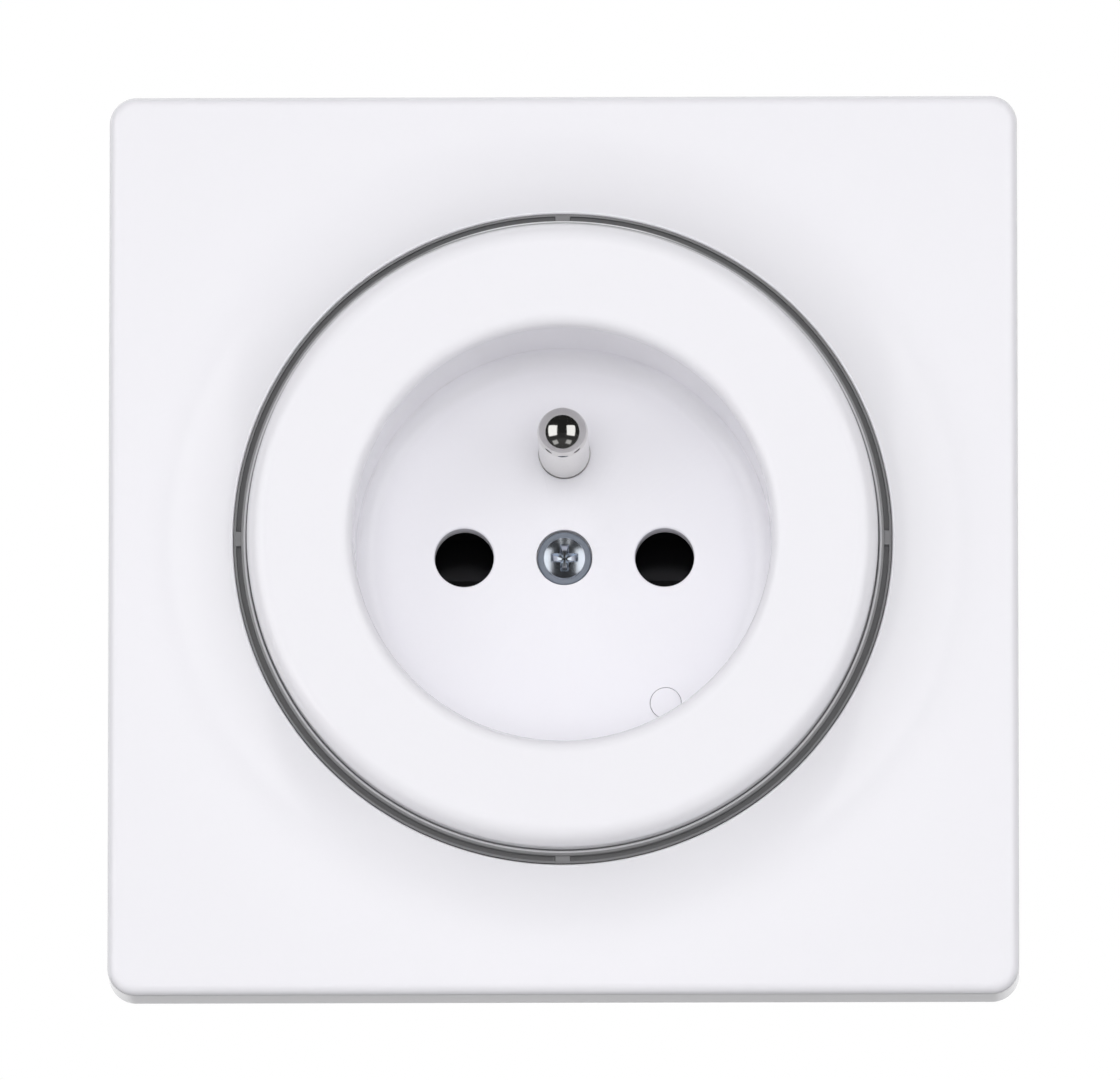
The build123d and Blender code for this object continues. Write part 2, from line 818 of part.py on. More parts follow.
def terminal(x, side, reach, front_z):
    """A brass cage with a bore for the wire from behind and a tapped hole from its outer side."""
    half_w = terminal_w / 2
    cage = block(-half_w, half_w, reach - terminal_t, reach, terminal_back_z, front_z)
    cage = fillet(cage.edges().filter_by(Axis.Z), terminal_corner_r)
    bore_y = terminal_bore_y(1, reach)
    cage -= post(0, bore_y, terminal_bore_r, terminal_back_z - 1, terminal_back_z + terminal_bore_depth)
    tapped = Rot(-90, 0, 0) * disc(terminal_screw_r + tapped_gap, bore_y, reach + 1)
    cage -= Pos(0, 0, terminal_screw_z) * tapped
    return Pos(x, 0, 0) * (cage if side > 0 else mirror(cage, Plane.XZ))


def terminal_screw(x, side, reach):
    """A terminal screw as delivered, backed out until its tip is level with the wire's bore."""
    screw = slotted_screw(
        terminal_screw_head_r,
        terminal_screw_head_t,
        terminal_screw_r,
        terminal_screw_wall + terminal_screw_stand,
    )
    return Pos(x, side * (reach + terminal_screw_stand), terminal_screw_z) * Rot(-90 * side, 0, 0) * screw


def busbar(side, top_y):
    outer_x = busbar_inner_x + busbar_w
    bar = block(busbar_inner_x, outer_x, busbar_foot_y, top_y, terminal_front_z, board_back_z)
    bar = fillet(bar.edges().filter_by(Axis.Z), busbar_corner_r)
    bar -= Pos(pin_x, 0, 0) * tail_hole()
    return bar if side > 0 else mirror(bar, Plane.YZ)


def tail_hole():
    half_w = contact_tail_w / 2 + tail_hole_gap
    y_in, y_out = contact_bore_r - tail_hole_gap, contact_r + tail_hole_gap
    return block(-half_w, half_w, y_in, y_out, terminal_back_z, board_z + 1)


# Control board and its components


def control_board():
    board = disc(housing_inner_r - board_edge_gap, board_back_z, board_z)
    strap_half = strap_w / 2 + strap_gap
    strap_way_y = earth_terminal_reach - strap_gap
    board -= block(-strap_half, strap_half, strap_way_y, housing_r, board_back_z - 1, board_z + 1)
    hole_r = carrier_screw_r + screw_hole_gap
    for side in (-1, 1):
        board -= post(side * carrier_screw_x, carrier_screw_y, hole_r, board_back_z - 1, board_z + 1)
        board -= Pos(side * pin_x, 0, 0) * tail_hole()
    return board


def relay():
    case = standing_block(relay_size, (0, relay_y), board_back_z)
    return fillet(case.edges().filter_by(Axis.Z), relay_corner_r)


def power_module():
    case = standing_block(power_size, (0, power_y), board_back_z)
    return fillet(case.edges().filter_by(Axis.Z), power_corner_r)


def capacitor():
    can = post(*capacitor_place, capacitor_r, board_back_z - capacitor_length, board_back_z)
    can = fillet(can.edges().sort_by(Axis.Z)[0], capacitor_edge_r)
    crimp = Torus(capacitor_r + crimp_r - crimp_depth, crimp_r)
    return can - Pos(*capacitor_place, board_back_z - crimp_place) * crimp


def fuse():
    body = post(*fuse_place, fuse_r, board_back_z - fuse_length, board_back_z)
    return fillet(body.edges().sort_by(Axis.Z)[0], fuse_edge_r)


def radio_module():
    module = standing_block(radio_size, radio_place, board_back_z)
    return module + standing_block(radio_can_size, radio_place, board_back_z - radio_size[2])


# Light board, its lamps and its ribbon


def light_board():
    return tube(light_board_r, light_board_inner_r, light_board_back_z, insert_skirt_z)


def ring_led(turn):
    lamp_r = (ring_inner_r + ring_outer_r) / 2
    return Rot(0, 0, turn) * standing_block(led_size, (lamp_r, 0), insert_skirt_z + led_size[2])


def ribbon_x():
    return -(housing_inner_r - ribbon_gap)


def light_ribbon():
    """The flat ribbon under the light board that turns down inside the housing to the control board."""
    half_w, inner_x = ribbon_w / 2, ribbon_x() + ribbon_t
    under_z = light_board_back_z - ribbon_t
    under = block(-ribbon_reach, inner_x, -half_w, half_w, under_z, light_board_back_z)
    return under + block(ribbon_x(), inner_x, -half_w, half_w, board_z, light_board_back_z)


def ribbon_socket():
    x_size, y_size, height = ribbon_socket_size
    near = ribbon_x() + ribbon_t
    return block(near, near + x_size, -y_size / 2, y_size / 2, board_z, board_z + height)


nodes = {
    "cover_frame": cover_frame(),
    "light_ring": light_ring(),
    "socket_insert": socket_insert(),
    "centre_screw": centre_screw(),
    "centre_nut": centre_nut(),
    "earth_pin": earth_pin(),
    "earth_strap": earth_strap(),
    "mounting_plate": mounting_plate(),
    "rear_housing": rear_housing(),
    "contact_carrier": contact_carrier(),
    "shutter": shutter(),
    "shutter_spring": shutter_spring(),
    "service_button": service_button(),
    "tactile_switch": tactile_switch(),
    "switch_plunger": switch_plunger(),
    "live_contact": plug_contact(-1),
    "neutral_contact": plug_contact(1),
    "live_busbar": busbar(-1, live_busbar_top_y),
    "neutral_busbar": busbar(1, neutral_busbar_top_y),
    "control_board": control_board(),
    "relay": relay(),
    "power_module": power_module(),
    "capacitor": capacitor(),
    "fuse": fuse(),
    "radio_module": radio_module(),
    "light_board": light_board(),
    "light_ribbon": light_ribbon(),
    "ribbon_socket": ribbon_socket(),
}
for name, x, side, reach, front_z, _ in terminal_places():
    nodes[f"{name}_terminal"] = terminal(x, side, reach, front_z)
    nodes[f"{name}_terminal_screw"] = terminal_screw(x, side, reach)
for number, turn in enumerate((45, 135, 225, 315), start=1):
    nodes[f"flange_screw_{number}"] = flange_screw(turn)
    nodes[f"ring_led_{number}"] = ring_led(turn)
for number, side in enumerate((-1, 1), start=1):
    nodes[f"carrier_screw_{number}"] = carrier_screw(side)

os.makedirs("parts", exist_ok=True)
upright = Rot(90, 0, 0)
for name, shape in nodes.items():
    export_step(upright * shape, f"parts/{name}.step")
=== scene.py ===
import bmesh
import bpy
import numpy as np
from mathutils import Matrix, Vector


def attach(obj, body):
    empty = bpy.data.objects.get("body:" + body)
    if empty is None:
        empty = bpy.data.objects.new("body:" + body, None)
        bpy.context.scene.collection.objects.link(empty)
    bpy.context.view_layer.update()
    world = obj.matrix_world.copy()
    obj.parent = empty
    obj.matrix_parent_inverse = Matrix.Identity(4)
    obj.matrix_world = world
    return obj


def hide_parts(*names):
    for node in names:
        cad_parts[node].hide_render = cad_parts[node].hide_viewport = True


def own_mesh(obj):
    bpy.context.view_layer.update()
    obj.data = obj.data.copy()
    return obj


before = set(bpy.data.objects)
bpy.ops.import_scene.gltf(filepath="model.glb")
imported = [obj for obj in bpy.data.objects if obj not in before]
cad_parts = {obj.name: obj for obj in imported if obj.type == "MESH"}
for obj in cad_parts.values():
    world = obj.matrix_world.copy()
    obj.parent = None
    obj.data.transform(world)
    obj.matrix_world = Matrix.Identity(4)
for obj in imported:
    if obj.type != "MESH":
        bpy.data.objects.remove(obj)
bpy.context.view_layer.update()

# Rear housing: a deep round cup of dark grey moulded plastic that goes into the flush box.
# It is moulded in one piece with its flange, and its skin has the fine grain of a spark-eroded mould.

MM = 0.001


def blank(name):
    """A new material, its node tree and its Principled shader."""
    material = bpy.data.materials.new(name)
    material.use_nodes = True
    return material, material.node_tree, material.node_tree.nodes["Principled BSDF"]


def add(tree, kind, **values):
    """A node of this kind in the tree, with its inputs set by name and its other settings by attribute."""
    node = tree.nodes.new(kind)
    for key, value in values.items():
        if hasattr(node, key):
            setattr(node, key, value)
        else:
            node.inputs[key.replace("_", " ")].default_value = value
    return node


def moulded_skin():
    """A node group for moulded plastic. It gives a mottle from 0 to 1 that varies slowly over the piece,
    and a height that varies at the scale of the mould's grain."""
    group = bpy.data.node_groups.new("moulded skin", "ShaderNodeTree")
    for name, value in (("Mottle scale", 60.0), ("Grain scale", 3000.0)):
        socket = group.interface.new_socket(name, in_out="INPUT", socket_type="NodeSocketFloat")
        socket.default_value = value
    for name in ("Mottle", "Grain"):
        group.interface.new_socket(name, in_out="OUTPUT", socket_type="NodeSocketFloat")
    given, result = add(group, "NodeGroupInput"), add(group, "NodeGroupOutput")
    place = add(group, "ShaderNodeTexCoord")
    mottle = add(group, "ShaderNodeTexNoise", Detail=3.0, Roughness=0.55)
    grain = add(group, "ShaderNodeTexNoise", Detail=2.0, Roughness=0.6)
    for node, scale, out in ((mottle, "Mottle scale", "Mottle"), (grain, "Grain scale", "Grain")):
        group.links.new(place.outputs["Object"], node.inputs["Vector"])
        group.links.new(given.outputs[scale], node.inputs["Scale"])
        group.links.new(node.outputs["Fac"], result.inputs[out])
    return group


MOULDED_SKIN = moulded_skin()


def plastic(name, colour, shade, rough, grain_mm, grain_depth, mottle_mm=18.0):
    """A moulded plastic. Its colour goes from colour to shade times colour with the mottle, its roughness
    runs over the range rough, and its grain is grain_depth deep over grain_mm."""
    material, tree, shader = blank(name)
    skin = add(tree, "ShaderNodeGroup", node_tree=MOULDED_SKIN)
    skin.inputs["Mottle scale"].default_value = 1 / (mottle_mm * MM)
    skin.inputs["Grain scale"].default_value = 1 / (grain_mm * MM)
    tint = add(tree, "ShaderNodeMix", data_type="RGBA")
    tint.inputs["A"].default_value = (*colour, 1)
    tint.inputs["B"].default_value = (*(c * shade for c in colour), 1)
    gloss = add(tree, "ShaderNodeMapRange", To_Min=rough[0], To_Max=rough[1])
    relief = add(tree, "ShaderNodeBump", Distance=grain_depth * MM, Strength=1.0)
    tree.links.new(skin.outputs["Mottle"], tint.inputs["Factor"])
    tree.links.new(skin.outputs["Mottle"], gloss.inputs["Value"])
    tree.links.new(skin.outputs["Grain"], relief.inputs["Height"])
    tree.links.new(tint.outputs["Result"], shader.inputs["Base Color"])
    tree.links.new(gloss.outputs["Result"], shader.inputs["Roughness"])
    tree.links.new(relief.outputs["Normal"], shader.inputs["Normal"])
    return material


def finish(material, *names):
    """Gives the carried-over pieces of these names this material."""
    for name in names:
        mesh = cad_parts[name].data
        mesh.materials.clear()
        mesh.materials.append(material)


dark_housing_plastic = plastic("dark_housing_plastic", (0.052, 0.053, 0.056), 0.8, (0.42, 0.55),
                               0.35, 0.012)
finish(dark_housing_plastic, "rear_housing", "contact_carrier")

# Brass and steel inside the housing: the terminals with their screws, the contacts, the busbars and the
# earth strap. The brass is drawn or milled and left bare, and the screws are blue zinc plated.


def worked_metal():
    """A node group for bare or plated metal. Scratches are noise drawn out along one axis of the piece,
    and the tarnish mask is a slow noise from 0 to 1."""
    group = bpy.data.node_groups.new("worked metal", "ShaderNodeTree")
    for name, kind, value in (("Scratch scale", "NodeSocketVector", (200.0, 4000.0, 4000.0)),
                              ("Tarnish scale", "NodeSocketFloat", 120.0)):
        group.interface.new_socket(name, in_out="INPUT", socket_type=kind).default_value = value
    for name in ("Scratches", "Tarnish"):
        group.interface.new_socket(name, in_out="OUTPUT", socket_type="NodeSocketFloat")
    given, result = add(group, "NodeGroupInput"), add(group, "NodeGroupOutput")
    place = add(group, "ShaderNodeTexCoord")
    stretched = add(group, "ShaderNodeVectorMath", operation="MULTIPLY")
    scratches = add(group, "ShaderNodeTexNoise", Scale=1.0, Detail=3.0, Roughness=0.65)
    tarnish = add(group, "ShaderNodeTexNoise", Detail=4.0, Roughness=0.6)
    group.links.new(place.outputs["Object"], stretched.inputs[0])
    group.links.new(given.outputs["Scratch scale"], stretched.inputs[1])
    group.links.new(stretched.outputs["Vector"], scratches.inputs["Vector"])
    group.links.new(place.outputs["Object"], tarnish.inputs["Vector"])
    group.links.new(given.outputs["Tarnish scale"], tarnish.inputs["Scale"])
    group.links.new(scratches.outputs["Fac"], result.inputs["Scratches"])
    group.links.new(tarnish.outputs["Fac"], result.inputs["Tarnish"])
    return group


WORKED_METAL = worked_metal()


def metal(name, colour, tarnished, rough, scratch_mm, scratch_depth=0.002, tarnish_mm=6.0):
    """A metal whose colour goes from colour to tarnished with the slow mask, whose roughness runs over the
    range rough with the scratches, and whose scratches are scratch_mm wide along X, Y and Z."""
    material, tree, shader = blank(name)
    work = add(tree, "ShaderNodeGroup", node_tree=WORKED_METAL)
    work.inputs["Scratch scale"].default_value = [1 / (width * MM) for width in scratch_mm]
    work.inputs["Tarnish scale"].default_value = 1 / (tarnish_mm * MM)
    tint = add(tree, "ShaderNodeMix", data_type="RGBA")
    tint.inputs["A"].default_value = (*colour, 1)
    tint.inputs["B"].default_value = (*tarnished, 1)
    gloss = add(tree, "ShaderNodeMapRange", To_Min=rough[0], To_Max=rough[1])
    relief = add(tree, "ShaderNodeBump", Distance=scratch_depth * MM, Strength=1.0)
    tree.links.new(work.outputs["Tarnish"], tint.inputs["Factor"])
    tree.links.new(work.outputs["Scratches"], gloss.inputs["Value"])
    tree.links.new(work.outputs["Scratches"], relief.inputs["Height"])
    tree.links.new(tint.outputs["Result"], shader.inputs["Base Color"])
    tree.links.new(gloss.outputs["Result"], shader.inputs["Roughness"])
    tree.links.new(relief.outputs["Normal"], shader.inputs["Normal"])
    shader.inputs["Metallic"].default_value = 1.0
    return material


drawn_brass = metal("drawn_brass", (0.83, 0.62, 0.28), (0.62, 0.42, 0.17), (0.22, 0.4), (0.4, 3.0, 0.4))
zinc_plate = metal("zinc_plate", (0.74, 0.79, 0.86), (0.56, 0.61, 0.68), (0.14, 0.26), (0.5, 0.5, 0.5))
finish(drawn_brass, "live_terminal", "neutral_terminal", "earth_terminal", "live_contact",
       "neutral_contact", "live_busbar", "neutral_busbar", "earth_strap", "centre_nut")
finish(zinc_plate, "live_terminal_screw", "neutral_terminal_screw", "earth_terminal_screw",
       "carrier_screw_1", "carrier_screw_2")

# Control board and light board: green laminate, with a black relay, power module, fuse and switch, an
# aluminium capacitor, a radio module under a tinned can, and the flat ribbon to the light board.

green_laminate = plastic("green_laminate", (0.02, 0.16, 0.075), 0.7, (0.28, 0.4), 0.5, 0.004, 4.0)
black_moulding = plastic("black_moulding", (0.016, 0.016, 0.017), 0.7, (0.3, 0.42), 0.3, 0.006)
ribbon_film = plastic("ribbon_film", (0.62, 0.57, 0.44), 0.85, (0.3, 0.45), 1.0, 0.004, 3.0)
lamp_resin = plastic("lamp_resin", (0.82, 0.74, 0.4), 0.9, (0.12, 0.22), 0.4, 0.002, 1.0)
spun_aluminium = metal("spun_aluminium", (0.8, 0.8, 0.82), (0.66, 0.66, 0.69), (0.25, 0.4), (2.0, 0.3, 2.0))
tinned_sheet = metal("tinned_sheet", (0.72, 0.72, 0.7), (0.55, 0.55, 0.53), (0.25, 0.42), (3.0, 0.3, 0.3))
finish(green_laminate, "control_board", "light_board")
finish(black_moulding, "relay", "power_module", "fuse", "tactile_switch", "switch_plunger")
finish(ribbon_film, "light_ribbon", "ribbon_socket")
finish(lamp_resin, "ring_led_1", "ring_led_2", "ring_led_3", "ring_led_4")
finish(spun_aluminium, "capacitor")
finish(tinned_sheet, "radio_module")

# Shutter and its spring: a satin black slide that closes the pin holes from behind, and the coil of
# spring wire that lifts it again. The wire is round, and its last half turns are closed up and ground.

satin_black = plastic("satin_black", (0.004, 0.004, 0.0045), 0.7, (0.22, 0.3), 0.3, 0.002)
finish(satin_black, "shutter")

SPRING_COIL_R, SPRING_WIRE_R, SPRING_TURNS, SPRING_END_TURNS = 1.3, 0.17, 9.0, 1.0
SPRING_FOOT, SPRING_TOP, SPRING_OUT = -18.4, -5.6, -6.45
STEPS_PER_TURN, WIRE_SIDES = 48, 12
MERGE_DISTANCE, SHARP_ANGLE = 0.0005, 35.0


def lattice(grid, rows_close=False, caps=False):
    """Points and faces of a grid of points, rows by columns. Columns close round on themselves, rows do if
    asked, and caps fill the first and last row with one flat face each."""
    rows, columns = grid.shape[:2]
    at = np.arange(rows * columns).reshape(rows, columns)
    ring = np.vstack([at, at[:1]]) if rows_close else at
    near, far = ring[:-1], ring[1:]
    quads = np.stack([near, far, np.roll(far, -1, 1), np.roll(near, -1, 1)], -1).reshape(-1, 4).tolist()
    if caps:
        quads += [at[0].tolist(), at[-1][::-1].tolist()]
    return grid.reshape(-1, 3), quads


def solid(name, *skins):
    """One mesh of closed skins, given in millimetres. Points that coincide are merged, every face is turned
    outwards, and edges sharper than the sharp angle stay sharp."""
    points, faces, start = [], [], 0
    for skin_points, skin_faces in skins:
        points.append(skin_points * MM)
        faces += [[corner + start for corner in face] for face in skin_faces]
        start += len(skin_points)
    mesh = bpy.data.meshes.new(name)
    mesh.from_pydata(np.vstack(points).tolist(), [], faces)
    work = bmesh.new()
    work.from_mesh(mesh)
    bmesh.ops.remove_doubles(work, verts=work.verts, dist=MERGE_DISTANCE * MM)
    bmesh.ops.recalc_face_normals(work, faces=work.faces)
    work.to_mesh(mesh)
    work.free()
    mesh.shade_smooth()
    mesh.set_sharp_from_angle(angle=np.radians(SHARP_ANGLE))
    return mesh


def piece(mesh, material, slot, body, *nodes):
    """A shown piece of this mesh that rides on this body and stands for these nodes."""
    mesh.materials.append(material)
    shown = bpy.data.objects.new(mesh.name, mesh)
    bpy.context.scene.collection.objects.link(shown)
    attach(shown, body)
    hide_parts(*nodes)
    return shown


def coil():
    """A round wire along a helix about Z. Over each end turn the height grows by the wire's thickness, and
    between them it grows evenly. A section of the wire is a circle in the plane of the outward direction
    and its cross product with the wire's direction."""
    share = np.linspace(0, 1, int(SPRING_TURNS * STEPS_PER_TURN) + 1)
    end = SPRING_END_TURNS / SPRING_TURNS
    low, high = SPRING_FOOT + SPRING_WIRE_R, SPRING_TOP - SPRING_WIRE_R
    closed = 2 * SPRING_WIRE_R * SPRING_END_TURNS
    height = np.interp(share, [0, end, 1 - end, 1], [low, low + closed, high - closed, high])
    turn = 2 * np.pi * SPRING_TURNS * share
    outward = np.stack([np.cos(turn), -np.sin(turn), np.zeros_like(turn)], -1)
    axis = np.stack([np.zeros_like(turn), np.full_like(turn, -SPRING_OUT), height], -1)
    centre = outward * SPRING_COIL_R + axis
    along = np.gradient(centre, axis=0)
    along /= np.linalg.norm(along, axis=1, keepdims=True)
    across = np.cross(along, outward)
    round_wire = np.linspace(0, 2 * np.pi, WIRE_SIDES, endpoint=False)[None, :, None]
    section = np.cos(round_wire) * outward[:, None] + np.sin(round_wire) * across[:, None]
    return lattice(centre[:, None] + SPRING_WIRE_R * section, caps=True)


spring_wire = metal("spring_wire", (0.56, 0.56, 0.58), (0.4, 0.4, 0.42), (0.25, 0.38), (0.3, 0.3, 0.05))
spring = piece(solid("shutter_return_spring", coil()), spring_wire,
               "spring_steel", "root", "shutter_spring")
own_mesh(spring)

# Mounting plate: zinc plated sheet steel, stamped with slots for the wall screws, with four bent-up tabs
# that the cover frame clips on. Four small screws hold the housing's flange to it.

plated_sheet = metal("plated_sheet", (0.7, 0.71, 0.72), (0.55, 0.56, 0.58), (0.28, 0.46),
                     (4.0, 0.5, 0.5), 0.003, 9.0)
finish(plated_sheet, "mounting_plate")
finish(zinc_plate, "flange_screw_1", "flange_screw_2", "flange_screw_3", "flange_screw_4")

# Earth pin: a turned brass pin, nickel plated and polished, with a round nose. Its flange sits behind the
# recess's floor, and its back end is riveted over the earth strap.

FLOOR, FLOOR_BACK = -2.0, -4.5
EARTH_PIN_R, EARTH_PIN_RISE, EARTH_PIN_LENGTH, NOSE_SHARE = 2.4, 10.0, 14.0, 0.9999
EARTH_SHOULDER_R, EARTH_SHOULDER_TOP = 2.41, FLOOR + 0.06
EARTH_FLANGE_R, EARTH_FLANGE_BACK = 3.6, -6.1
RIVET_R, RIVET_HEAD_R, RIVET_NECK, RIVET_END = 1.5, 2.6, -6.9, -7.7


def outline(points, radii, steps=8):
    """A closed outline of (radius, height) points whose corners are rounded. A corner's arc touches both
    sides at its radius over the tangent of half the angle from the corner, and is given in equal steps."""
    points = np.array(points, float)
    before, after = np.roll(points, 1, 0) - points, np.roll(points, -1, 0) - points
    before /= np.linalg.norm(before, axis=1, keepdims=True)
    after /= np.linalg.norm(after, axis=1, keepdims=True)
    rounded = []
    for corner, back, on, radius in zip(points, before, after, radii):
        if radius == 0:
            rounded.append(corner[None])
            continue
        half = np.arccos(np.clip(back @ on, -1, 1)) / 2
        middle = corner + (back + on) / np.linalg.norm(back + on) * radius / np.sin(half)
        start, end = corner + back * radius / np.tan(half), corner + on * radius / np.tan(half)
        swing = (np.pi - 2 * half) * np.linspace(0, 1, steps + 1)[:, None]
        first, last = start - middle, end - middle
        span = np.pi - 2 * half
        rounded.append(middle + (first * np.sin(span - swing) + last * np.sin(swing)) / np.sin(span))
    return np.vstack(rounded)


def lathe(profile, x=0.0, z=0.0, columns=256, rows_close=True):
    """A surface of revolution: a profile point (radius, height out of the wall) goes round the axis
    through (x, z) to x plus radius times cosine, minus the height, and z plus radius times sine."""
    turn = np.linspace(0, 2 * np.pi, columns, endpoint=False)
    radius, out = profile[:, 0, None], np.repeat(profile[:, 1, None], columns, 1)
    return lattice(np.stack([x + radius * np.cos(turn), -out, z + radius * np.sin(turn)], -1), rows_close)


polished_nickel = metal("polished_nickel", (0.74, 0.73, 0.71), (0.64, 0.63, 0.61), (0.06, 0.14),
                        (3.0, 0.12, 3.0), 0.0006)

pin_outline = outline(
    [(0, FLOOR + EARTH_PIN_LENGTH), (EARTH_PIN_R, FLOOR + EARTH_PIN_LENGTH),
     (EARTH_PIN_R, EARTH_SHOULDER_TOP), (EARTH_SHOULDER_R, EARTH_SHOULDER_TOP),
     (EARTH_SHOULDER_R, FLOOR_BACK), (EARTH_FLANGE_R, FLOOR_BACK),
     (EARTH_FLANGE_R, EARTH_FLANGE_BACK), (RIVET_R, EARTH_FLANGE_BACK),
     (RIVET_R, RIVET_NECK), (RIVET_HEAD_R, RIVET_NECK), (RIVET_HEAD_R, RIVET_END), (0, RIVET_END)],
    [0, EARTH_PIN_R * NOSE_SHARE, 0.05, 0.05, 0, 0.2, 0.2, 0, 0, 0.1, 0.25, 0], 24)
piece(solid("earth_contact_pin", lathe(pin_outline, 0, EARTH_PIN_RISE, 160)), polished_nickel,
      "nickel", "root", "earth_pin")

# Socket insert: the white dish that the plug goes into, moulded in glossy plastic. One bowl-shaped recess
# with a rounded rim, a flat rounded face round it and a skirt down to the light board. Its floor has round
# holes with soft lips for the plug's pins, and plain ones for the earth pin, screw and button.

FACE, SKIRT_END, FRONT_UNDERSIDE = 13.0, 5.0, 10.8
INSERT_R, SKIRT_INNER_R, RECESS_R, CUP_R = 29.8, 27.8, 19.75, 21.75
INSERT_EDGE_R, RECESS_RIM_R, RECESS_FOOT_R = 2.0, 1.35, 2.0
PIN_X, PIN_HOLE_R, PIN_LIP_R = 9.5, 2.8, 0.25
SCREW_TUBE_R, SCREW_TUBE_END, SCREW_SEAT, SCREW_WELL_R, SCREW_HOLE_R = 3.2, -8.4, -3.3, 2.66, 1.65
BUTTON_X, BUTTON_Z, BUTTON_R, BUTTON_GAP = 9.6, -14.0, 1.46, 0.04
PIN_GAP, SMALL_LIP_R, CUT_PAST, LIP_RISE = 0.05, 0.05, 0.6, 0.002


def hole(radius, lip_r, x, z, low, high=FLOOR + CUT_PAST, columns=128):
    """The space of a hole with a soft lip at the floor: a straight bore, then a quarter round that opens it
    by the lip's radius and ends a hair above the floor, then straight up to high."""
    swing = np.linspace(0, np.pi / 2, 9)
    lip_height = FLOOR + LIP_RISE - lip_r * (1 - np.sin(swing))
    lip = np.stack([radius + lip_r * (1 - np.cos(swing)), lip_height], -1)
    bore = np.array([(0, low), (radius, low)])
    mouth = np.array([(radius + lip_r, high), (0, high)])
    return lathe(np.vstack([bore, lip, mouth]), x, z, columns)


def cut(mesh_piece, *spaces):
    """Takes these closed spaces out of the piece's mesh and keeps the result as its mesh."""
    tool = bpy.data.objects.new("cutting space", solid("cutting space", *spaces))
    bpy.context.scene.collection.objects.link(tool)
    trim = mesh_piece.modifiers.new("holes", "BOOLEAN")
    trim.operation, trim.solver, trim.object = "DIFFERENCE", "EXACT", tool
    graph = bpy.context.evaluated_depsgraph_get()
    made = bpy.data.meshes.new_from_object(mesh_piece.evaluated_get(graph))
    mesh_piece.modifiers.clear()
    mesh_piece.data = made
    bpy.data.objects.remove(tool)
    made.shade_smooth()
    made.set_sharp_from_angle(angle=np.radians(SHARP_ANGLE))


def keep_flats_flat(shown):
    """Large faces set the shading of their corners, so a flat stays flat up to its rounded edge."""
    weighting = shown.modifiers.new("flats", "WEIGHTED_NORMAL")
    weighting.keep_sharp, weighting.weight = True, 100


glossy_white = plastic("glossy_white", (0.906, 0.898, 0.94), 0.985, (0.13, 0.17), 0.9, 0.0012)

dish_outline = outline(
    [(RECESS_R, FLOOR), (RECESS_R, FACE), (INSERT_R, FACE), (INSERT_R, SKIRT_END),
     (SKIRT_INNER_R, SKIRT_END), (SKIRT_INNER_R, FRONT_UNDERSIDE), (CUP_R, FRONT_UNDERSIDE),
     (CUP_R, FLOOR_BACK), (SCREW_TUBE_R, FLOOR_BACK), (SCREW_TUBE_R, SCREW_TUBE_END),
     (0, SCREW_TUBE_END), (0, FLOOR)],
    [RECESS_FOOT_R, RECESS_RIM_R, INSERT_EDGE_R, 0.15, 0.15, 0.4, 0.4, 0.3, 0.3, 0.15, 0, 0], 14)
dish = piece(solid("socket_dish", lathe(dish_outline, columns=384)), glossy_white,
             "white_plastic", "root", "socket_insert")
cut(dish,
    hole(PIN_HOLE_R, PIN_LIP_R, -PIN_X, 0, FLOOR_BACK - CUT_PAST),
    hole(PIN_HOLE_R, PIN_LIP_R, PIN_X, 0, FLOOR_BACK - CUT_PAST),
    hole(EARTH_SHOULDER_R + PIN_GAP, SMALL_LIP_R, 0, EARTH_PIN_RISE, FLOOR_BACK - CUT_PAST),
    hole(BUTTON_R + BUTTON_GAP, SMALL_LIP_R, BUTTON_X, BUTTON_Z, FLOOR_BACK - CUT_PAST, columns=64),
    hole(SCREW_HOLE_R, SMALL_LIP_R, 0, 0, SCREW_TUBE_END - CUT_PAST, columns=64))
cut(dish, hole(SCREW_WELL_R, SMALL_LIP_R, 0, 0, SCREW_SEAT))
keep_flats_flat(dish)

# Centre screw: a pan-head machine screw, blue zinc plated, that holds the insert to the carrier behind.
# Its cross recess is pressed in with a tapered punch, and the head sits just below the recess's floor.

SCREW_HEAD_R, SCREW_HEAD_TOP, SCREW_HEAD_EDGE_R, SCREW_FLANGE_TOP = 2.55, -2.1, 0.2, -2.58
SCREW_CROWN_R, SCREW_CROWN_REACH, SCREW_CROWN_EDGE_R = 6.0, 1.98, 0.08
SCREW_SHANK_R, SCREW_SHANK_END = 1.45, -18.5
SCREW_SHADED_RIM_FROM = SCREW_CROWN_REACH + 0.03
CROSS_HALF_LENGTH, CROSS_HALF_WIDTH, CROSS_DEPTH, CROSS_TAPER = 1.42, 0.43, 0.6, 0.7
CROSS_TIP, CROSS_TIP_SHARE = 0.3, 0.2


def cross_punch():
    """A tapered cross: four arms as a closed outline of twelve corners with small rounds, drawn down while
    its size falls linearly to the taper's share, and from there to the small tip's share."""
    long, wide = CROSS_HALF_LENGTH, CROSS_HALF_WIDTH
    arm = [(wide, wide), (long, wide), (long, -wide)]
    quarters = ((1, 0), (0, -1), (-1, 0), (0, 1))
    corners = [(x * c - y * s, x * s + y * c) for c, s in quarters for x, y in arm]
    star = outline(corners, [0.14, 0.1, 0.1] * 4, 4)
    depth = np.array([CUT_PAST, 0, -CROSS_DEPTH, -CROSS_DEPTH - CROSS_TIP])
    share = np.array([1 + (1 - CROSS_TAPER) * CUT_PAST / CROSS_DEPTH, 1, CROSS_TAPER, CROSS_TIP_SHARE])
    flat = star[None] * share[:, None, None]
    out = np.broadcast_to((SCREW_HEAD_TOP + depth)[:, None], flat.shape[:2])
    return lattice(np.stack([flat[..., 0], -out, flat[..., 1]], -1), caps=True)


